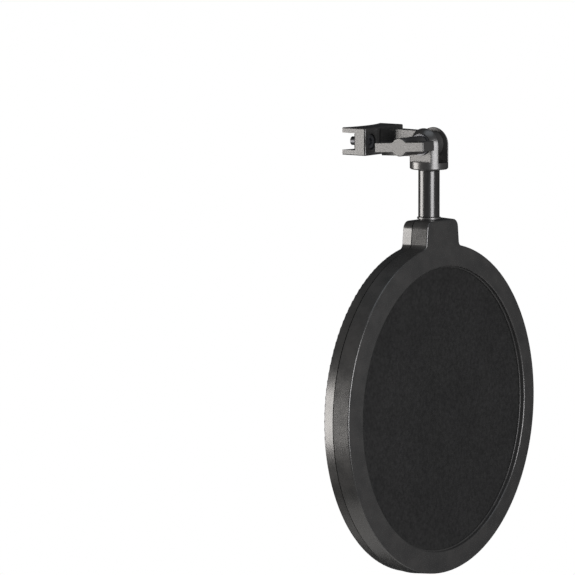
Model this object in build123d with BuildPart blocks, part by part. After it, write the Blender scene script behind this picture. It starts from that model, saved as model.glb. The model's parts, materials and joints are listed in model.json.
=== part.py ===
"""Pop filter on a tilting arm: a round two-layer windscreen hangs from a yoke that a T-handled screw clamps.

Axes: X along the hinge screw, with the T-handle on -X; -Y faces the voice; Z up.
The origin is where the outer face of the supporting ring touches the foot's liner. Millimetres.
"""
import os

from build123d import *

# ---- Foot and arm: hold the filter on a ring 96 mm across
RING_R = 48.0          # outer radius of the ring that the foot grips, centred on (0, RING_R)
FOOT_WIDTH = 30.8
FOOT_HEIGHT = 12.6
FOOT_FRONT_Y = -4.1
FOOT_BACK_Y = 9.4
FOOT_EDGE_R = 0.5
CHANNEL_HEIGHT = 7.8   # the ring band goes in here
CHANNEL_DEPTH = 6.6
LINER_THICK = 0.8
LINER_HOLE_R = 3.4     # round each ring screw
RING_SCREW_X = 10.8
RING_SCREW_R = 2.0     # M4
SHOULDER_R = 2.4       # the plain shoulder behind each head
HEAD_R = 3.5
HEAD_HEIGHT = 2.0
HEAD_SUNK = 0.55       # below the foot's front face
HEX_HALF_FLATS = 1.5
ARM_SCREW_Z = 2.4
ARM_SCREW_R = 1.25
ARM_SCREW_HOLE_R = 1.3
PAD_THICK = 1.3        # raised pad round the arm's root
PAD_HALF_WIDTH = 4.2

# ---- Hinge
HINGE_Y = -28.8
HINGE_Z = -0.5
TONGUE_HALF_THICK = 3.1
TONGUE_R = 5.8
FLARE_START_Y = 16.0   # behind the hinge, where the arm begins to widen
ROOT_HALF_HEIGHT = 6.2
ROOT_HALF_WIDTH = 4.0
YOKE_R = 8.8           # body radius, and radius of the ball-shaped top
DOME_Z = -0.45         # centre of the ball-shaped top
YOKE_EDGE_R = 0.3
BUSH_R = 3.6
BUSH_HOLE_R = 3.65
FRICTION_WASHER_R = 5.4
FRICTION_WASHER_THICK = 0.4
SLOT_HALF_WIDTH = 3.6
SLOT_FLOOR_Z = -8.4    # below the hinge, as all heights from here on
COLLAR_TOP_Z = -8.0
COLLAR_BOTTOM_Z = -11.5
NEAR_FLAT_X = -6.8
FAR_FLAT_X = 7.6
SCREW_R = 2.5          # M5
SCREW_CLEARANCE_R = 2.58
NUT_ACROSS_FLATS = 8.0
NUT_THICK = 2.7

# ---- T-handle
HUB_R = 4.2
HUB_END_X = -7.75
HUB_WASHER_R = 4.9
HUB_WASHER_THICK = 0.8
WING_BACK_X = -15.4
WING_FRONT_X = -24.2
STUD_END_X = -21.65
WING_HALF_LENGTH = 13.4
WING_HALF_THICK = 2.3
WING_EDGE_R = 0.4
WING_TURN = -3.5       # degrees from level, front end up

# ---- Post and swivel
POST_R = 4.9
POST_FLARE_R = 0.9     # hollow rounding where the post meets the collar
POST_BOTTOM_Z = -33.4
SPIGOT_R = 3.0
SPIGOT_END_Z = -44.8
CLIP_GROOVE_R = 2.5
CLIP_TOP_Z = -41.4
CLIP_THICK = 0.8
CLIP_R = 4.4
CLIP_MOUTH = 3.2
POST_SCREW_R = 1.5
POST_SCREW_HEAD_R = 2.8
POST_SCREW_HEAD_HEIGHT = 1.15

# ---- Filter disc
DISC_R = 76.0          # at the seam
DISC_Z = -121.4
OPENING_R = 65.5
FRONT_Y = -7.9         # outer edge of the front face, from the hinge's plane, as all depths from here on
SEAM_Y = 0.3
BACK_Y = 6.0
CROWN = 1.2            # the front face rises this much from its outer edge to the opening
CROWN_START_R = 74.6
FRONT_FACE_THICK = 2.0 # at the opening
REAR_FACE_THICK = 1.3
DRAFT = 3              # degrees that both shells' sides lean inwards, away from the seam
RIM_BORE_R = 72.2
LIP_OUTER_R = 71.9     # the rear shell's locating lip, inside the front shell's bore
LIP_INNER_R = 70.1
LIP_LENGTH = 2.0
REAR_STEP = 0.3        # the rear shell is this much smaller all round
SEAM_GROOVE = 0.6      # width and depth of the shadow line beside the seam
HOOP_THICK = 0.8
HOOP_INNER_R = 64.9
FRONT_HOOP_R = 71.8
REAR_HOOP_R = 69.6
SCREEN_THICK = 0.4
SCREEN_R = 69.4
SPACER_INNER_R = 66.5
EDGE_R = 0.7           # rounding of the shells' outer edges
OPENING_EDGE_R = 0.6
TAB_TOP_Z = -34.3
TAB_HALF_WIDTH_TOP = 12.5
TAB_HALF_WIDTH_BASE = 14.1
TAB_CORNER_R = 4.2
TAB_FLARE_R = 2.0
TAB_SCREW_X = 8.4
TAB_SCREW_Z = -41.0
TAB_SCREW_R = 1.2
TAB_SCREW_HEAD_R = 2.2
BUSH_BOTTOM_Z = -41.3
NECK_BUSH_R = 4.2
NECK_FLANGE_R = 5.4
NECK_FLANGE_THICK = 0.8


def across(x):
    """A plane square to the hinge screw; its sketch axes are +Y and +Z from the hinge."""
    return Plane((x, HINGE_Y, HINGE_Z), x_dir=(0, 1, 0), z_dir=(1, 0, 0))


def level(z):
    """A level plane through the post's axis, z above the hinge."""
    return Plane((0, HINGE_Y, HINGE_Z + z))


def upright(y):
    """A plane across the filter, y behind the hinge; sketch axes +X and +Z, and its normal points forward."""
    return Plane((0, HINGE_Y + y, HINGE_Z), x_dir=(1, 0, 0), z_dir=(0, -1, 0))


def upright_rear(y):
    """The same plane as upright(y) with its normal pointing backward, so its sketch X is reversed."""
    return Plane((0, HINGE_Y + y, HINGE_Z), x_dir=(-1, 0, 0), z_dir=(0, 1, 0))


def facing_front(x, y, z):
    """A plane in the foot's frame whose normal points forward."""
    return Plane((x, y, z), x_dir=(1, 0, 0), z_dir=(0, -1, 0))


parts = {}


def keep(builder, name):
    builder.part.label = name
    parts[name] = builder.part


# ================= Foot =================
with BuildPart() as ring_block:
    with BuildSketch(Plane.XY.offset(-FOOT_HEIGHT / 2)):
        with Locations((0, (FOOT_FRONT_Y + FOOT_BACK_Y) / 2)):
            Rectangle(FOOT_WIDTH, FOOT_BACK_Y - FOOT_FRONT_Y)
        with Locations((0, RING_R)):
            Circle(RING_R - CHANNEL_DEPTH + LINER_THICK, mode=Mode.SUBTRACT)
    extrude(amount=FOOT_HEIGHT)
    fillet(ring_block.edges().filter_by(Axis.Z).group_by(Axis.Y)[0], 0.8)
    fillet(ring_block.faces().sort_by(Axis.Y)[0].edges(), FOOT_EDGE_R)
    with BuildSketch(facing_front(0, FOOT_FRONT_Y, 0)):
        RectangleRounded(2 * PAD_HALF_WIDTH, FOOT_HEIGHT - 0.8, 0.6)
    extrude(amount=PAD_THICK)
    with BuildSketch(Plane.XY.offset(-CHANNEL_HEIGHT / 2)):
        with Locations((0, RING_R)):
            Circle(RING_R + LINER_THICK + 0.1)
    extrude(amount=CHANNEL_HEIGHT, mode=Mode.SUBTRACT)
    with BuildSketch(facing_front(0, 6.0, 0)):
        with Locations((-RING_SCREW_X, 0), (RING_SCREW_X, 0)):
            Circle(SHOULDER_R + 0.05)
    extrude(amount=20, mode=Mode.SUBTRACT)
    with BuildSketch(facing_front(0, FOOT_FRONT_Y + 2.6, 0)):
        with Locations((-RING_SCREW_X, 0), (RING_SCREW_X, 0)):
            Circle(HEAD_R + 0.2)
    extrude(amount=5, mode=Mode.SUBTRACT)
    with BuildSketch(facing_front(0, 3.0, 0)):
        with Locations((0, -ARM_SCREW_Z), (0, ARM_SCREW_Z)):
            Circle(ARM_SCREW_HOLE_R)
    extrude(amount=12, mode=Mode.SUBTRACT)
keep(ring_block, "ring_block")

with BuildPart() as ring_liner:
    with BuildSketch(Plane.XY.offset(-CHANNEL_HEIGHT / 2 + 0.2)):
        with Locations((0, RING_R)):
            Circle(RING_R + LINER_THICK)
            Circle(RING_R, mode=Mode.SUBTRACT)
        with Locations((0, 0)):
            Rectangle(FOOT_WIDTH - 1.0, 12, mode=Mode.INTERSECT)
    extrude(amount=CHANNEL_HEIGHT - 0.4)
    with BuildSketch(facing_front(0, 8.0, 0)):
        with Locations((-RING_SCREW_X, 0), (RING_SCREW_X, 0)):
            Circle(LINER_HOLE_R)
    extrude(amount=16, mode=Mode.SUBTRACT)
keep(ring_liner, "ring_liner")

with BuildPart() as ring_screws:
    with BuildSketch(facing_front(0, 6.2, 0)):
        with Locations((-RING_SCREW_X, 0), (RING_SCREW_X, 0)):
            Circle(RING_SCREW_R)
    extrude(amount=6)
    with BuildSketch(facing_front(0, 1.9, 0)):
        with Locations((-RING_SCREW_X, 0), (RING_SCREW_X, 0)):
            Circle(SHOULDER_R)
    extrude(amount=3.5)
    with BuildSketch(facing_front(0, FOOT_FRONT_Y + HEAD_SUNK + HEAD_HEIGHT, 0)):
        with Locations((-RING_SCREW_X, 0), (RING_SCREW_X, 0)):
            Circle(HEAD_R)
    extrude(amount=HEAD_HEIGHT)
    chamfer(ring_screws.faces().sort_by(Axis.Y)[:2].edges(), 0.4)
    with BuildSketch(facing_front(0, FOOT_FRONT_Y + HEAD_SUNK + 1.2, 0)):
        with Locations((-RING_SCREW_X, 0), (RING_SCREW_X, 0)):
            RegularPolygon(HEX_HALF_FLATS, 6, major_radius=False)
    extrude(amount=2, mode=Mode.SUBTRACT)
keep(ring_screws, "ring_screws")

# ================= Arm =================
with BuildPart() as arm:
    root_y = FOOT_FRONT_Y - PAD_THICK - HINGE_Y
    with BuildSketch(across(-ROOT_HALF_WIDTH - 1)):
        Circle(TONGUE_R)
        with BuildLine():
            Polyline((0, TONGUE_R), (root_y, ROOT_HALF_HEIGHT), (root_y, -ROOT_HALF_HEIGHT),
                     (0, -TONGUE_R), close=True)
        make_face()
    extrude(amount=2 * ROOT_HALF_WIDTH + 2)
    with BuildSketch(level(-ROOT_HALF_HEIGHT - 1)):
        with BuildLine():
            flare_start = (TONGUE_HALF_THICK, FLARE_START_Y)
            flare_end = (ROOT_HALF_WIDTH, root_y)
            Line((0, -10), (TONGUE_HALF_THICK, -10))
            Line((TONGUE_HALF_THICK, -10), flare_start)
            TangentArc(flare_start, flare_end, tangent=(0, 1))
            Line(flare_end, (0, root_y))
            Line((0, root_y), (0, -10))
        make_face()
        mirror(about=Plane.YZ)
    extrude(amount=2 * ROOT_HALF_HEIGHT + 2, mode=Mode.INTERSECT)
    with BuildSketch(across(-10)):
        Circle(BUSH_HOLE_R)
    extrude(amount=20, mode=Mode.SUBTRACT)
    with BuildSketch(facing_front(0, FOOT_FRONT_Y, 0)):
        with Locations((0, -ARM_SCREW_Z), (0, ARM_SCREW_Z)):
            Circle(ARM_SCREW_HOLE_R)
    extrude(amount=10, mode=Mode.SUBTRACT)
keep(arm, "arm")

with BuildPart() as arm_screws:
    with BuildSketch(facing_front(0, -0.95, 0)):
        with Locations((0, -ARM_SCREW_Z), (0, ARM_SCREW_Z)):
            Circle(ARM_SCREW_R)
    extrude(amount=12)
keep(arm_screws, "arm_screws")

with BuildPart() as tongue_bush:
    with BuildSketch(across(-TONGUE_HALF_THICK)):
        Circle(BUSH_R)
        Circle(SCREW_CLEARANCE_R, mode=Mode.SUBTRACT)
    extrude(amount=2 * TONGUE_HALF_THICK)
keep(tongue_bush, "tongue_bush")

with BuildPart() as friction_washers:
    for x in (-TONGUE_HALF_THICK - 0.05 - FRICTION_WASHER_THICK, TONGUE_HALF_THICK + 0.05):
        with BuildSketch(across(x)):
            Circle(FRICTION_WASHER_R)
            Circle(SCREW_CLEARANCE_R, mode=Mode.SUBTRACT)
        extrude(amount=FRICTION_WASHER_THICK)
keep(friction_washers, "friction_washers")

# ================= Yoke =================
with BuildPart() as yoke:
    with BuildSketch(Plane((0, HINGE_Y, HINGE_Z), x_dir=(1, 0, 0), z_dir=(0, -1, 0))):
        with BuildLine():
            Line((0, DOME_Z + YOKE_R), (0, COLLAR_BOTTOM_Z))
            Line((0, COLLAR_BOTTOM_Z), (YOKE_R, COLLAR_BOTTOM_Z))
            Line((YOKE_R, COLLAR_BOTTOM_Z), (YOKE_R, DOME_Z))
            CenterArc((0, DOME_Z), YOKE_R, 0, 90)
        make_face()
    revolve(axis=Axis((0, HINGE_Y, 0), (0, 0, 1)))
    chamfer(yoke.edges().sort_by(Axis.Z)[0], 0.5)
    for x, turn in ((NEAR_FLAT_X, -1), (FAR_FLAT_X, 1)):
        with BuildSketch(level(COLLAR_TOP_Z)):
            with Locations((x + turn * 5, 0)):
                Rectangle(10, 30)
        extrude(amount=30, mode=Mode.SUBTRACT)
    with BuildSketch(level(SLOT_FLOOR_Z)):
        Rectangle(2 * SLOT_HALF_WIDTH, 30)
    extrude(amount=30, mode=Mode.SUBTRACT)
    ear_rims = yoke.edges().filter_by(
        lambda e: e.center().Z > HINGE_Z + SLOT_FLOOR_Z + 1 and abs(e.center().X) > SLOT_HALF_WIDTH - 0.1)
    fillet(ear_rims, YOKE_EDGE_R)
    with BuildSketch(across(-10)):
        Circle(SCREW_CLEARANCE_R)
    extrude(amount=20, mode=Mode.SUBTRACT)
    with BuildSketch(across(FAR_FLAT_X - NUT_THICK - 0.1)):
        RegularPolygon(NUT_ACROSS_FLATS / 2 + 0.05, 6, major_radius=False)
    extrude(amount=5, mode=Mode.SUBTRACT)
    with BuildSketch(level(COLLAR_BOTTOM_Z - 1)):
        Circle(POST_SCREW_R + 0.1)
    extrude(amount=6, mode=Mode.SUBTRACT)
    with BuildSketch(level(SLOT_FLOOR_Z - POST_SCREW_HEAD_HEIGHT - 0.15)):
        Circle(POST_SCREW_HEAD_R + 0.2)
    extrude(amount=3, mode=Mode.SUBTRACT)
keep(yoke, "yoke")

with BuildPart() as hinge_nut:
    with BuildSketch(across(FAR_FLAT_X - NUT_THICK)):
        RegularPolygon(NUT_ACROSS_FLATS / 2, 6, major_radius=False)
        Circle(SCREW_R + 0.05, mode=Mode.SUBTRACT)
    extrude(amount=NUT_THICK - 0.1)
keep(hinge_nut, "hinge_nut")

# ================= Post =================
with BuildPart() as post:
    with BuildSketch(level(POST_BOTTOM_Z)):
        Circle(POST_R)
    extrude(amount=COLLAR_BOTTOM_Z - POST_BOTTOM_Z)
    chamfer(post.edges().sort_by(Axis.Z)[0], 0.3)
    with BuildSketch(Plane((0, HINGE_Y, HINGE_Z + COLLAR_BOTTOM_Z), x_dir=(1, 0, 0), z_dir=(0, -1, 0))):
        with BuildLine():
            Polyline((POST_R, -POST_FLARE_R), (0, -POST_FLARE_R), (0, 0), (POST_R + POST_FLARE_R, 0))
            CenterArc((POST_R + POST_FLARE_R, -POST_FLARE_R), POST_FLARE_R, 90, 90)
        make_face()
    revolve(axis=Axis((0, HINGE_Y, 0), (0, 0, 1)))
    with BuildSketch(level(SPIGOT_END_Z)):
        Circle(SPIGOT_R)
    extrude(amount=POST_BOTTOM_Z - SPIGOT_END_Z)
    with BuildSketch(level(CLIP_TOP_Z - CLIP_THICK - 0.05)):
        Circle(SPIGOT_R + 1)
        Circle(CLIP_GROOVE_R, mode=Mode.SUBTRACT)
    extrude(amount=CLIP_THICK + 0.1, mode=Mode.SUBTRACT)
    with BuildSketch(level(COLLAR_BOTTOM_Z - 9)):
        Circle(POST_SCREW_R + 0.05)
    extrude(amount=12, mode=Mode.SUBTRACT)
keep(post, "post")

with BuildPart() as post_screw:
    with BuildSketch(level(COLLAR_BOTTOM_Z - 8)):
        Circle(POST_SCREW_R)
    extrude(amount=SLOT_FLOOR_Z - 1.25 - (COLLAR_BOTTOM_Z - 8))
    with BuildSketch(level(SLOT_FLOOR_Z - POST_SCREW_HEAD_HEIGHT - 0.1)):
        Circle(POST_SCREW_HEAD_R)
    extrude(amount=POST_SCREW_HEAD_HEIGHT)
    with BuildSketch(level(SLOT_FLOOR_Z - 0.7)):
        RegularPolygon(1.0, 6, major_radius=False)
    extrude(amount=2, mode=Mode.SUBTRACT)
keep(post_screw, "post_screw")

with BuildPart() as post_clip:
    with BuildSketch(level(CLIP_TOP_Z - CLIP_THICK)):
        Circle(CLIP_R)
        Circle(CLIP_GROOVE_R + 0.05, mode=Mode.SUBTRACT)
        with Locations((0, 4)):
            Rectangle(CLIP_MOUTH, 6, mode=Mode.SUBTRACT)
    extrude(amount=CLIP_THICK)
keep(post_clip, "post_clip")

# ================= T-handle screw =================
with BuildPart() as hub_washer:
    with BuildSketch(across(NEAR_FLAT_X - 0.05 - HUB_WASHER_THICK)):
        Circle(HUB_WASHER_R)
        Circle(SCREW_CLEARANCE_R, mode=Mode.SUBTRACT)
    extrude(amount=HUB_WASHER_THICK)
keep(hub_washer, "hub_washer")

with BuildPart() as wing_handle:
    with BuildSketch(across(WING_FRONT_X)):
        Circle(HUB_R)
        Rectangle(2 * WING_HALF_LENGTH, 2 * WING_HALF_THICK, rotation=WING_TURN)
    extrude(amount=WING_BACK_X - WING_FRONT_X)
    shoulders = wing_handle.edges().filter_by(Axis.X).filter_by(
        lambda e: abs(e.center().Y - HINGE_Y) < HUB_R and abs(e.center().Z - HINGE_Z) < HUB_R)
    fillet(shoulders, 1.8)
    ends = wing_handle.edges().filter_by(Axis.X).filter_by(
        lambda e: abs(e.center().Y - HINGE_Y) > WING_HALF_LENGTH - 0.5)
    fillet(ends, 0.5)
    fillet(wing_handle.faces().sort_by(Axis.X)[0].edges(), WING_EDGE_R)
    fillet(wing_handle.faces().sort_by(Axis.X)[-1].edges(), WING_EDGE_R)
    with BuildSketch(across(WING_BACK_X - 1)):
        Circle(HUB_R)
    extrude(amount=HUB_END_X - WING_BACK_X + 1)
    with BuildSketch(across(STUD_END_X - 0.05)):
        Circle(SCREW_R + 0.05)
    extrude(amount=20, mode=Mode.SUBTRACT)
keep(wing_handle, "wing_handle")

with BuildPart() as wing_stud:
    with BuildSketch(across(STUD_END_X)):
        Circle(SCREW_R)
    extrude(amount=FAR_FLAT_X - 0.3 - STUD_END_X)
    chamfer(wing_stud.edges().sort_by(Axis.X)[-1], 0.5)
keep(wing_stud, "wing_stud")


# ================= Filter disc =================
def shell_outline(shrink):
    """The disc with its round-cornered tab on top, smaller by shrink all round."""
    disc = Pos(0, DISC_Z) * Circle(DISC_R - shrink)
    tab_top = (TAB_HALF_WIDTH_TOP - shrink, TAB_TOP_Z - shrink)
    tab_base = (TAB_HALF_WIDTH_BASE - shrink, DISC_Z + DISC_R - 4)
    tab = Polygon((-tab_base[0], tab_base[1]), tab_base, tab_top, (-tab_top[0], tab_top[1]), align=None)
    outline = disc + tab
    outline = fillet(outline.vertices().group_by(Axis.Y)[-1], TAB_CORNER_R - shrink)
    roots = [v for v in outline.vertices() if TAB_TOP_Z - 16 < v.Y < TAB_TOP_Z - 10]
    return fillet(roots, TAB_FLARE_R + shrink)


def disc_bore(radius, front_y, back_y):
    """A round cut through the disc between two depths."""
    with Locations(Location((0, HINGE_Y + (front_y + back_y) / 2, HINGE_Z + DISC_Z), (90, 0, 0))):
        Cylinder(radius, back_y - front_y, mode=Mode.SUBTRACT)


def cut_socket():
    """The stepped socket in the tab for the swivel: bush, clip chamber, end of the post."""
    steps = (
        (BUSH_BOTTOM_Z - 0.05, TAB_TOP_Z + 1, NECK_BUSH_R + 0.05),
        (-43.2, BUSH_BOTTOM_Z, CLIP_R + 0.35),
        (SPIGOT_END_Z - 0.6, -43.1, SPIGOT_R + 0.3),
    )
    for bottom, top, radius in steps:
        with Locations((0, HINGE_Y, HINGE_Z + (bottom + top) / 2)):
            Cylinder(radius, top - bottom, mode=Mode.SUBTRACT)


front_hoop_y = FRONT_Y - CROWN + FRONT_FACE_THICK
rear_hoop_y = BACK_Y - REAR_FACE_THICK
spacer_front_y = front_hoop_y + HOOP_THICK + SCREEN_THICK
spacer_back_y = rear_hoop_y - HOOP_THICK - SCREEN_THICK
groove_back_y = SEAM_Y + SEAM_GROOVE
crown_top = CROWN * (CROWN_START_R - OPENING_R + 1) / (CROWN_START_R - OPENING_R)
front_outline = shell_outline(0)
rear_outline = shell_outline(REAR_STEP)
groove_outline = shell_outline(REAR_STEP + SEAM_GROOVE)

with BuildPart() as front_ring:
    with BuildSketch(upright(SEAM_Y)):
        add(front_outline)
    extrude(amount=SEAM_Y - FRONT_Y, taper=DRAFT)
    fillet(front_ring.faces().sort_by(Axis.Y)[0].edges(), EDGE_R)
    with BuildSketch(Plane((0, HINGE_Y, HINGE_Z + DISC_Z), x_dir=(1, 0, 0), z_dir=(0, 0, 1))):
        Polygon((CROWN_START_R, FRONT_Y), (OPENING_R - 1, FRONT_Y - crown_top), (OPENING_R - 1, FRONT_Y + 1),
                (CROWN_START_R, FRONT_Y + 1), align=None)
    revolve(axis=Axis((0, HINGE_Y, HINGE_Z + DISC_Z), (0, 1, 0)))
    disc_bore(OPENING_R, FRONT_Y - CROWN - 1, SEAM_Y + 1)
    rims = front_ring.edges().filter_by(GeomType.CIRCLE).filter_by(lambda e: abs(e.radius - OPENING_R) < 0.01)
    fillet(rims.sort_by(Axis.Y)[0], OPENING_EDGE_R)
    disc_bore(RIM_BORE_R, front_hoop_y, SEAM_Y + 1)
    cut_socket()
    with BuildSketch(upright(SEAM_Y)):
        with Locations((-TAB_SCREW_X, TAB_SCREW_Z), (TAB_SCREW_X, TAB_SCREW_Z)):
            Circle(TAB_SCREW_R + 0.05)
    extrude(amount=5.5, mode=Mode.SUBTRACT)
keep(front_ring, "front_ring")

with BuildPart() as rear_ring:
    with BuildSketch(upright_rear(groove_back_y)):
        add(rear_outline)
    extrude(amount=BACK_Y - groove_back_y, taper=DRAFT)
    fillet(rear_ring.faces().sort_by(Axis.Y)[-1].edges(), EDGE_R)
    with BuildSketch(upright_rear(SEAM_Y)):
        add(groove_outline)
    extrude(amount=SEAM_GROOVE + 0.1)
    disc_bore(OPENING_R, SEAM_Y - 1, BACK_Y + 1)
    fillet(rear_ring.faces().sort_by(Axis.Y)[-1].edges().filter_by(GeomType.CIRCLE).filter_by(
        lambda e: abs(e.radius - OPENING_R) < 0.01), OPENING_EDGE_R)
    disc_bore(RIM_BORE_R, SEAM_Y - 1, rear_hoop_y)
    with BuildSketch(upright(spacer_back_y - 0.2)):
        with Locations((0, DISC_Z)):
            Circle(RIM_BORE_R + 1)
            Circle(LIP_INNER_R, mode=Mode.SUBTRACT)
    extrude(amount=spacer_back_y - 0.2 - SEAM_Y)
    with BuildSketch(upright(SEAM_Y)):
        with Locations((0, DISC_Z)):
            Circle(LIP_OUTER_R)
            Circle(LIP_INNER_R, mode=Mode.SUBTRACT)
    extrude(amount=LIP_LENGTH)
    cut_socket()
    with BuildSketch(upright(BACK_Y)):
        with Locations((-TAB_SCREW_X, TAB_SCREW_Z), (TAB_SCREW_X, TAB_SCREW_Z)):
            Circle(TAB_SCREW_R + 0.1)
    extrude(amount=10, mode=Mode.SUBTRACT)
    with BuildSketch(upright(BACK_Y)):
        with Locations((-TAB_SCREW_X, TAB_SCREW_Z), (TAB_SCREW_X, TAB_SCREW_Z)):
            Circle(TAB_SCREW_HEAD_R + 0.1)
    extrude(amount=1.8, mode=Mode.SUBTRACT)
keep(rear_ring, "rear_ring")

with BuildPart() as neck_bush:
    with BuildSketch(level(BUSH_BOTTOM_Z)):
        Circle(NECK_BUSH_R)
        Circle(SPIGOT_R + 0.05, mode=Mode.SUBTRACT)
    extrude(amount=TAB_TOP_Z - BUSH_BOTTOM_Z)
    with BuildSketch(level(TAB_TOP_Z)):
        Circle(NECK_FLANGE_R)
        Circle(SPIGOT_R + 0.05, mode=Mode.SUBTRACT)
    extrude(amount=NECK_FLANGE_THICK)
keep(neck_bush, "neck_bush")

with BuildPart() as neck_screws:
    with BuildSketch(upright(BACK_Y - 1.7)):
        with Locations((-TAB_SCREW_X, TAB_SCREW_Z), (TAB_SCREW_X, TAB_SCREW_Z)):
            Circle(TAB_SCREW_R)
    extrude(amount=8.5)
    with BuildSketch(upright(BACK_Y - 0.2)):
        with Locations((-TAB_SCREW_X, TAB_SCREW_Z), (TAB_SCREW_X, TAB_SCREW_Z)):
            Circle(TAB_SCREW_HEAD_R)
    extrude(amount=1.55)
    with BuildSketch(upright(BACK_Y)):
        with Locations((-TAB_SCREW_X, TAB_SCREW_Z), (TAB_SCREW_X, TAB_SCREW_Z)):
            Rectangle(TAB_SCREW_HEAD_R, 0.5)
            Rectangle(0.5, TAB_SCREW_HEAD_R)
    extrude(amount=1.0, mode=Mode.SUBTRACT)
keep(neck_screws, "neck_screws")

with BuildPart() as front_hoop:
    with BuildSketch(upright(front_hoop_y + HOOP_THICK)):
        with Locations((0, DISC_Z)):
            Circle(FRONT_HOOP_R)
            Circle(HOOP_INNER_R, mode=Mode.SUBTRACT)
    extrude(amount=HOOP_THICK)
    fillet(front_hoop.faces().sort_by(Axis.Y)[0].inner_wires()[0].edges(), 0.2)
keep(front_hoop, "front_hoop")

with BuildPart() as front_screen:
    with BuildSketch(upright(spacer_front_y)):
        with Locations((0, DISC_Z)):
            Circle(SCREEN_R)
    extrude(amount=SCREEN_THICK)
keep(front_screen, "front_screen")

with BuildPart() as spacer_ring:
    with BuildSketch(upright(spacer_back_y)):
        with Locations((0, DISC_Z)):
            Circle(REAR_HOOP_R)
            Circle(SPACER_INNER_R, mode=Mode.SUBTRACT)
    extrude(amount=spacer_back_y - spacer_front_y)
keep(spacer_ring, "spacer_ring")

with BuildPart() as rear_screen:
    with BuildSketch(upright(rear_hoop_y - HOOP_THICK)):
        with Locations((0, DISC_Z)):
            Circle(SCREEN_R)
    extrude(amount=SCREEN_THICK)
keep(rear_screen, "rear_screen")

with BuildPart() as rear_hoop:
    with BuildSketch(upright(rear_hoop_y)):
        with Locations((0, DISC_Z)):
            Circle(REAR_HOOP_R)
            Circle(HOOP_INNER_R, mode=Mode.SUBTRACT)
    extrude(amount=HOOP_THICK)
    fillet(rear_hoop.faces().sort_by(Axis.Y)[-1].inner_wires()[0].edges(), 0.2)
keep(rear_hoop, "rear_hoop")

os.makedirs("parts", exist_ok=True)
for name, part in parts.items():
    export_step(part, f"parts/{name}.step")
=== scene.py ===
"""Looks of the pop filter: studio, procedural materials, and woven screens that replace the two flat ones."""
import json
import math

import bmesh
import bpy
from mathutils import Matrix, Vector


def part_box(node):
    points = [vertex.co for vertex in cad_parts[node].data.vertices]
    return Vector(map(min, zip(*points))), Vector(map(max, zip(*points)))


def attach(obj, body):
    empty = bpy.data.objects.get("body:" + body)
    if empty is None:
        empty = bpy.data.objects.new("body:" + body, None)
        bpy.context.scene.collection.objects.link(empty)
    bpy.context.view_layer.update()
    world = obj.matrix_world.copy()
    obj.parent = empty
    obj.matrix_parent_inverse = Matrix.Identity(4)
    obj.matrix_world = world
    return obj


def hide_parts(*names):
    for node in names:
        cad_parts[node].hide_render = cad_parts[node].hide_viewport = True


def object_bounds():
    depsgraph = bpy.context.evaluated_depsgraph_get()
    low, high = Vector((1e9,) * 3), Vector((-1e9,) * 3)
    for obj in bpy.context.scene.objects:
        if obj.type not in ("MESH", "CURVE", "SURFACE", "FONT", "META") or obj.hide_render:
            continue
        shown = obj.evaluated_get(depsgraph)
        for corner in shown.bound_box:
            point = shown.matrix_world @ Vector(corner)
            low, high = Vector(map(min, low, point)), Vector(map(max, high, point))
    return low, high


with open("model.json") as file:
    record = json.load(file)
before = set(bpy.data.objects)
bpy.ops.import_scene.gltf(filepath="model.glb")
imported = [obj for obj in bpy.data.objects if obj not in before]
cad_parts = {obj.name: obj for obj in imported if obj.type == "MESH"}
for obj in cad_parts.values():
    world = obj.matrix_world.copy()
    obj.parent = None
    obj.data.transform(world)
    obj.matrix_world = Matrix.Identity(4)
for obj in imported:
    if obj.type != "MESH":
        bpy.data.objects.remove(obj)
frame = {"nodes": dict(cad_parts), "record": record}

cad_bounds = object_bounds()

MM = 0.001


# ================= Camera =================
AZIMUTH = math.radians(-54.86)      # to the handle's side of straight ahead
ELEVATION = math.radians(5.76)
DISTANCE = 4.1096
SENSOR = 36.0
FOCAL_PER_WIDTH = 15.652            # a long lens, so lines hardly converge
YOKE_MIDDLE = Vector((0, -28.8 * MM, 1.2 * MM))
AIM_LEFT = 64.63 * MM               # the view's centre, to the left of the yoke and below it
AIM_DOWN = 67.33 * MM


def view_axes(azimuth, elevation):
    """Right, up and back of a camera that looks at the object from there."""
    back = Vector((math.sin(azimuth) * math.cos(elevation), -math.cos(azimuth) * math.cos(elevation),
                   math.sin(elevation)))
    right = (-back).cross(Vector((0, 0, 1))).normalized()
    return right, right.cross(-back), back


def add_camera():
    right, up, back = view_axes(AZIMUTH, ELEVATION)
    aim = YOKE_MIDDLE - right * AIM_LEFT - up * AIM_DOWN
    data = bpy.data.cameras.new("camera")
    data.sensor_width = SENSOR
    data.lens = FOCAL_PER_WIDTH * SENSOR
    data.clip_end = 100
    camera = bpy.data.objects.new("camera", data)
    turn = Matrix((right, up, back)).transposed().to_4x4()
    camera.matrix_world = Matrix.Translation(aim + back * DISTANCE) @ turn
    bpy.context.collection.objects.link(camera)
    bpy.context.scene.camera = camera


# ================= Studio =================
LIGHT_TARGET = Vector((0, -0.03, -0.08))
# name, azimuth and elevation in degrees, distance, width, height, watts, colour
LIGHTS = (
    ("softbox_side", -142, -4.5, 1.5, 0.94, 0.86, 42, (1.0, 0.965, 0.93)),
    ("softbox_front", -19, 5, 1.5, 0.85, 1.10, 49, (1.0, 0.99, 1.0)),
    ("top", -60, 80, 1.3, 0.9, 0.9, 5, (0.85, 0.92, 1.0)),
)
SURROUND = 0.03                     # how strongly the dim surround lights the object
SURROUND_COLOR = (0.9, 0.95, 1, 1)
BACKDROP_COLOR = (1, 1, 1, 1)
FLOOR_DROP = 1.2                    # metres below the lowest point of the object
FLOOR_RADIUS = 1.0
FLOOR_SIDES = 96
FLOOR_COLOR = (0.82, 0.82, 0.81, 1)
FLOOR_ROUGHNESS = 0.8


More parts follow.
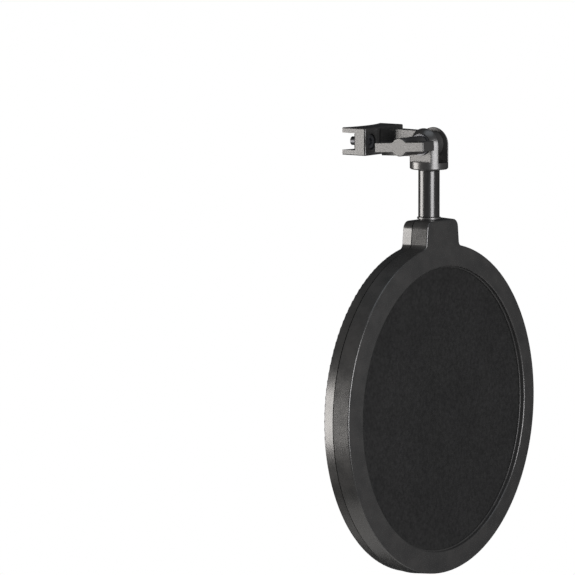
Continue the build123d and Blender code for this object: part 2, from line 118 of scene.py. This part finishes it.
def add_light(name, azimuth, elevation, distance, width, height, watts, color):
    right, up, back = view_axes(math.radians(azimuth), math.radians(elevation))
    data = bpy.data.lights.new(name, "AREA")
    data.shape = "RECTANGLE"
    data.size = width
    data.size_y = height
    data.energy = watts
    data.color = color
    light = bpy.data.objects.new(name, data)
    turn = Matrix((right, up, back)).transposed().to_4x4()
    light.matrix_world = Matrix.Translation(LIGHT_TARGET + back * distance) @ turn
    bpy.context.collection.objects.link(light)


def add_world():
    """A white background that is dim as a light, like a dark studio round a white sweep."""
    world = bpy.data.worlds.new("studio")
    world.use_nodes = True
    nodes, links = world.node_tree.nodes, world.node_tree.links
    dim = nodes["Background"]
    dim.inputs["Strength"].default_value = SURROUND
    dim.inputs["Color"].default_value = SURROUND_COLOR
    white = nodes.new("ShaderNodeBackground")
    white.inputs["Color"].default_value = BACKDROP_COLOR
    ray = nodes.new("ShaderNodeLightPath")
    mix = nodes.new("ShaderNodeMixShader")
    links.new(ray.outputs["Is Camera Ray"], mix.inputs[0])
    links.new(dim.outputs[0], mix.inputs[1])
    links.new(white.outputs[0], mix.inputs[2])
    links.new(mix.outputs[0], nodes["World Output"].inputs["Surface"])
    bpy.context.scene.world = world
    bpy.context.scene.view_settings.view_transform = "Standard"


def add_floor():
    bm = bmesh.new()
    bmesh.ops.create_circle(bm, cap_ends=True, radius=FLOOR_RADIUS, segments=FLOOR_SIDES)
    mesh = bpy.data.meshes.new("floor")
    bm.to_mesh(mesh)
    bm.free()
    floor = bpy.data.objects.new("floor", mesh)
    floor.location = (0, 0, cad_bounds[0][2] - FLOOR_DROP)
    material = bpy.data.materials.new("pale_floor")
    material.use_nodes = True
    shader = material.node_tree.nodes["Principled BSDF"]
    shader.inputs["Base Color"].default_value = FLOOR_COLOR
    shader.inputs["Roughness"].default_value = FLOOR_ROUGHNESS
    mesh.materials.append(material)
    bpy.context.collection.objects.link(floor)


# ================= Materials =================
class Graph:
    """A material's node tree, with a short way to add nodes and wire them."""

    def __init__(self, name):
        self.material = bpy.data.materials.new(name)
        self.material.use_nodes = True
        self.nodes = self.material.node_tree.nodes
        self.links = self.material.node_tree.links
        self.shader = self.nodes["Principled BSDF"]
        self.place = self.nodes.new("ShaderNodeTexCoord").outputs["Object"]

    def add(self, kind, inputs=None, **settings):
        node = self.nodes.new(kind)
        for key, value in settings.items():
            setattr(node, key, value)
        for key, value in (inputs or {}).items():
            if isinstance(value, bpy.types.NodeSocket):
                self.links.new(value, node.inputs[key])
            else:
                node.inputs[key].default_value = value
        return node

    def set(self, **sockets):
        """Sets or wires the shader's own sockets; an underscore stands for a space."""
        for key, value in sockets.items():
            socket = self.shader.inputs[key.replace("_", " ")]
            if isinstance(value, bpy.types.NodeSocket):
                self.links.new(value, socket)
            else:
                socket.default_value = value

    def noise(self, size_mm, detail=3, roughness=0.55, stretch=(1, 1, 1)):
        """Noise whose features are about size_mm across, times the stretch along each axis."""
        where = self.place
        if stretch != (1, 1, 1):
            scale = tuple(1 / s for s in stretch)
            where = self.add("ShaderNodeMapping", {"Vector": where, "Scale": scale}).outputs[0]
        return self.add("ShaderNodeTexNoise", {"Vector": where, "Scale": 1 / (size_mm * MM), "Detail": detail,
                                               "Roughness": roughness}).outputs["Fac"]

    def remap(self, value, low, high, from_low=0.3, from_high=0.7):
        """Low to high as the value goes over its range, which for noise is about 0.3 to 0.7."""
        return self.add("ShaderNodeMapRange", {"Value": value, "From Min": from_low, "From Max": from_high,
                                               "To Min": low, "To Max": high}).outputs[0]

    def math(self, operation, a, b=0.0):
        return self.add("ShaderNodeMath", {0: a, 1: b}, operation=operation).outputs[0]

    def blend(self, factor, a, b):
        node = self.add("ShaderNodeMix", data_type="RGBA")
        for socket, value in ((node.inputs[0], factor), (node.inputs[6], a), (node.inputs[7], b)):
            if isinstance(value, bpy.types.NodeSocket):
                self.links.new(value, socket)
            else:
                socket.default_value = value
        return node.outputs[2]

    def edges(self, width_mm):
        """1 along outer and inner corners, fading to 0 on flat faces width_mm away."""
        rounded = self.add("ShaderNodeBevel", {"Radius": width_mm * MM}, samples=4).outputs[0]
        plain = self.add("ShaderNodeNewGeometry").outputs["Normal"]
        likeness = self.add("ShaderNodeVectorMath", {0: rounded, 1: plain}, operation="DOT_PRODUCT")
        return self.remap(likeness.outputs["Value"], 1, 0, 0.80, 0.97)

    def painted_crevice_shade(self, width_mm):
        """Ambient-occlusion mask for painted shade: 1 inside seams and slots narrower than width_mm, and 0 on
        open faces.
        """
        sky = self.add("ShaderNodeAmbientOcclusion", {"Distance": width_mm * MM}, samples=8).outputs["AO"]
        return self.remap(sky, 1, 0, 0.35, 0.75)

    def bump(self, height, depth_mm, strength=1.0, after=None):
        inputs = {"Height": height, "Strength": strength, "Distance": depth_mm * MM}
        if after is not None:
            inputs["Normal"] = after
        return self.add("ShaderNodeBump", inputs).outputs[0]


def grey(level, warm=0.0):
    """A grey of that level, with red above it and blue below it where warm is over 0."""
    return (level * (1 + warm), level, level * (1 - warm), 1)


PLASTIC_SPECULAR = 0.5
WEAR_WIDTH = 0.3                    # of the paler line along edges, in mm
WEAR_SHADE = 1.9                    # times the plastic's own level
PAINTED_SHADE_WIDTH = 0.8                    # seams narrower than this get painted shade and are dull, in mm
# times the plastic's own level, for the painted shade inside seams
SEAM_PAINTED_SHADE = 0.15
SEAM_ROUGHNESS = 0.5                # added inside seams
GLOSS_SPREAD = 0.03                 # unevenness of the roughness


def moulded_plastic(name, level, roughness, grain_mm, grain_depth_mm):
    """Black moulded plastic: fine grain, uneven gloss, faint marks, paler worn edges, and painted shade that
    darkens its dull seams.
    """
    g = Graph(name)
    grain = g.noise(grain_mm, detail=2, roughness=0.6)
    patches = g.noise(9, detail=3)
    marks = g.noise(1.6, detail=4, roughness=0.7, stretch=(4, 1, 1))
    tone = g.blend(g.remap(patches, 0, 1), grey(level * 0.86), grey(level * 1.14, 0.02))
    worn = g.math("MULTIPLY", g.edges(WEAR_WIDTH), g.remap(marks, 0.0, 0.55, 0.42, 0.66))
    # painted shade: ambient occlusion darkens the colour inside seams and slots and makes them rougher
    seams = g.painted_crevice_shade(PAINTED_SHADE_WIDTH)
    color = g.blend(seams, g.blend(worn, tone, grey(level * WEAR_SHADE)), grey(level * SEAM_PAINTED_SHADE))
    uneven = g.remap(patches, roughness - GLOSS_SPREAD, roughness + GLOSS_SPREAD)
    marked = g.math("ADD", uneven, g.remap(marks, -0.02, 0.03))
    g.set(Base_Color=color, Roughness=g.math("ADD", marked, g.math("MULTIPLY", seams, SEAM_ROUGHNESS)),
          Specular_IOR_Level=PLASTIC_SPECULAR, Normal=g.bump(grain, grain_depth_mm))
    return g.material


def shell_plastic():
    return moulded_plastic("shell_plastic", 0.0205, 0.27, 0.45, 0.006)


def hoop_plastic():
    return moulded_plastic("hoop_plastic", 0.018, 0.36, 0.4, 0.008)


def fitting_plastic():
    return moulded_plastic("fitting_plastic", 0.020, 0.30, 0.5, 0.016)


def handle_plastic():
    return moulded_plastic("handle_plastic", 0.022, 0.32, 0.5, 0.022)


def post_paint():
    """Semi-gloss black paint on turned steel: soft orange peel and faint lengthways streaks."""
    g = Graph("post_paint")
    peel = g.noise(1.1, detail=1)
    streaks = g.noise(0.5, detail=3, stretch=(1, 1, 26))
    g.set(Base_Color=g.blend(g.remap(streaks, 0, 1), grey(0.010), grey(0.017)),
          Roughness=g.remap(streaks, 0.20, 0.27), Specular_IOR_Level=0.4,
          Normal=g.bump(streaks, 0.002, after=g.bump(peel, 0.006)))
    return g.material


def oxide_steel():
    """Black-oxide steel of the screw heads and the hub washer."""
    g = Graph("oxide_steel")
    cloud = g.noise(1.8, detail=4)
    fine = g.noise(0.15, detail=2)
    g.set(Base_Color=g.blend(g.remap(cloud, 0, 1), grey(0.05), (0.085, 0.088, 0.1, 1)), Metallic=0.8,
          Roughness=g.remap(cloud, 0.34, 0.46), Normal=g.bump(fine, 0.003))
    return g.material


def zinc_steel():
    """Zinc-plated steel with a patchy, faintly brushed surface."""
    g = Graph("zinc_steel")
    cloud = g.noise(2.5, detail=3)
    lines = g.noise(0.25, detail=2, stretch=(14, 1, 1))
    g.set(Base_Color=g.blend(g.remap(cloud, 0, 1), (0.46, 0.47, 0.48, 1), (0.62, 0.62, 0.6, 1)), Metallic=1.0,
          Roughness=g.remap(lines, 0.24, 0.36), Normal=g.bump(lines, 0.003))
    return g.material


def turned_brass():
    """Brass with the fine rings that a lathe leaves round the X axis."""
    g = Graph("turned_brass")
    lines = g.noise(0.2, detail=2, stretch=(1, 12, 12))
    tone = g.blend(g.remap(lines, 0, 1), (0.60, 0.42, 0.18, 1), (0.75, 0.56, 0.27, 1))
    g.set(Base_Color=tone, Metallic=1.0, Roughness=g.remap(lines, 0.22, 0.32), Normal=g.bump(lines, 0.003))
    return g.material


def liner_rubber():
    """Matt rubber with a little dust."""
    g = Graph("liner_rubber")
    fine = g.noise(0.3, detail=3)
    dust = g.noise(3, detail=4, roughness=0.7)
    g.set(Base_Color=g.blend(g.remap(dust, 0, 1, 0.5, 0.75), grey(0.02), grey(0.045)),
          Roughness=g.remap(fine, 0.7, 0.85), Normal=g.bump(fine, 0.02))
    return g.material


def washer_nylon():
    """Smooth black nylon, slightly glossy."""
    g = Graph("washer_nylon")
    cloud = g.noise(2, detail=2)
    g.set(Base_Color=g.blend(g.remap(cloud, 0, 1), grey(0.022), grey(0.034)),
          Roughness=g.remap(cloud, 0.26, 0.36), Normal=g.bump(g.noise(0.4), 0.004))
    return g.material


KNIT_WIDTH = 0.85 * MM              # of one knitted cell
KNIT_TALL = 0.8                     # cells along Z for each one along X, so cells are taller than wide
KNIT_DEPTH = 0.10                   # from the yarn down into the holes, in mm
YARN_SHARE = 0.75                   # of the cells in the height; the rest is fuzz
# painted shade: the colour in the holes is darker than on the yarn
HOLE_SHADE_LEVEL = 0.0025
YARN_LEVEL = 0.0105


def knit_fabric():
    """Fine black tricot: rows of tiny cells with painted shade in their holes, uneven yarn and a faint sheen.
    """
    g = Graph("knit_fabric")
    axes = g.add("ShaderNodeSeparateXYZ", {"Vector": g.place})
    turns = 2 * math.pi / KNIT_WIDTH
    drift = g.math("MULTIPLY", g.noise(14, detail=2), 1.6)
    across = g.math("SINE", g.math("ADD", g.math("MULTIPLY", axes.outputs["X"], turns), drift))
    along = g.math("SINE", g.math("ADD", g.math("MULTIPLY", axes.outputs["Z"], turns * KNIT_TALL), drift))
    cell = g.math("ADD", g.math("MULTIPLY", g.math("MULTIPLY", across, along), 0.5), 0.5)
    fuzz = g.noise(0.25, detail=3, roughness=0.7)
    yarn = g.math("ADD", g.math("MULTIPLY", cell, YARN_SHARE), g.math("MULTIPLY", fuzz, 1 - YARN_SHARE))
    slubs = g.noise(1.5, detail=2)
    patches = g.math("MULTIPLY", g.remap(g.noise(22, detail=3), 0.85, 1.15), g.remap(slubs, 0.62, 1.38))
    # painted shade in the holes between the yarn, times random patches of tone
    shade = g.math("MULTIPLY", g.remap(yarn, HOLE_SHADE_LEVEL, YARN_LEVEL, 0.2, 0.8), patches)
    color = g.add("ShaderNodeCombineColor", {"Red": shade, "Green": shade, "Blue": shade}).outputs[0]
    g.set(Base_Color=color, Roughness=0.7, Specular_IOR_Level=0.12, Sheen_Weight=0.03, Sheen_Roughness=0.5,
          Normal=g.bump(yarn, KNIT_DEPTH, 0.8))
    return g.material


def finish_cad_nodes(finishes):
    """Each CAD node takes the finish of its material slot in the record."""
    for part in frame["record"]["subparts"]:
        node = frame["nodes"][part["node"]]
        node.data.materials.clear()
        node.data.materials.append(finishes[part["material_slot"]])


# ================= Screens =================
SCREEN_RINGS = 70
SCREEN_SPOKES = 180
CLOTH_THICK = 0.22 * MM
SLACK = 0.08 * MM        # how far the cloth's faint ripples stand from flat
RIPPLE_FADE = 4          # power of the distance from the middle, so the ripples fade near the rim
# the ripples are three plane waves: height, turns per metre along X and along Z
RIPPLES = ((0.4, 9.7, 3.7), (0.4, -4.9, 7.5), (0.2, 23.9, 14.3))


def ripple(x, z, radius):
    """How far the cloth stands from flat there. It is flat at the clamped rim."""
    fade = 1 - (math.hypot(x, z) / radius) ** RIPPLE_FADE
    return SLACK * fade * sum(height * math.sin(2 * math.pi * (x * turns_x + z * turns_z))
                              for height, turns_x, turns_z in RIPPLES)


def cloth_mesh(name, radius, middle_y, middle_z):
    """A thin disc of cloth with two sides, each made of rings round a middle vertex."""
    bm = bmesh.new()

    def vert(side, r, angle):
        x, z = r * math.cos(angle), r * math.sin(angle)
        return bm.verts.new((x, middle_y + ripple(x, z, radius) + side * CLOTH_THICK / 2, middle_z + z))

    next_spoke = [(j, (j + 1) % SCREEN_SPOKES) for j in range(SCREEN_SPOKES)]
    faces = []
    rims = []
    for side in (-1, 1):
        hub = vert(side, 0, 0)
        rings = [[vert(side, radius * (i + 1) / SCREEN_RINGS, 2 * math.pi * j / SCREEN_SPOKES)
                  for j in range(SCREEN_SPOKES)] for i in range(SCREEN_RINGS)]
        for j, k in next_spoke:
            faces.append(bm.faces.new((hub, rings[0][j], rings[0][k])))
            for inner, outer in zip(rings, rings[1:]):
                faces.append(bm.faces.new((inner[j], outer[j], outer[k], inner[k])))
        rims.append(rings[-1])
    front, rear = rims
    for j, k in next_spoke:
        faces.append(bm.faces.new((front[j], rear[j], rear[k], front[k])))
    for face in faces:
        face.smooth = True
    bmesh.ops.recalc_face_normals(bm, faces=faces)
    mesh = bpy.data.meshes.new(name)
    bm.to_mesh(mesh)
    bm.free()
    return mesh


def add_screen(name, node, material):
    """Thin cloth disc in place of a flat CAD screen, stretched on its hoop and faintly rippled."""
    low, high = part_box(node)
    middle_y = (low[1] + high[1]) / 2
    middle_z = (low[2] + high[2]) / 2
    radius = (high[0] - low[0]) / 2
    mesh = cloth_mesh(name, radius, middle_y, middle_z)
    mesh.materials.append(material)
    screen = bpy.data.objects.new(name, mesh)
    bpy.context.collection.objects.link(screen)
    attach(screen, "filter")
    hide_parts(node)


# ================= Build =================
add_camera()
add_world()
add_floor()
for light in LIGHTS:
    add_light(*light)

knit = knit_fabric()
finish_cad_nodes({
    "shell": shell_plastic(), "mesh": knit, "hoop": hoop_plastic(), "fitting": fitting_plastic(),
    "handle": handle_plastic(), "post": post_paint(), "black_steel": oxide_steel(),
    "zinc_steel": zinc_steel(), "bush": turned_brass(), "liner": liner_rubber(),
    "washer": washer_nylon(),
})
add_screen("front_cloth", "front_screen", knit)
add_screen("rear_cloth", "rear_screen", knit)
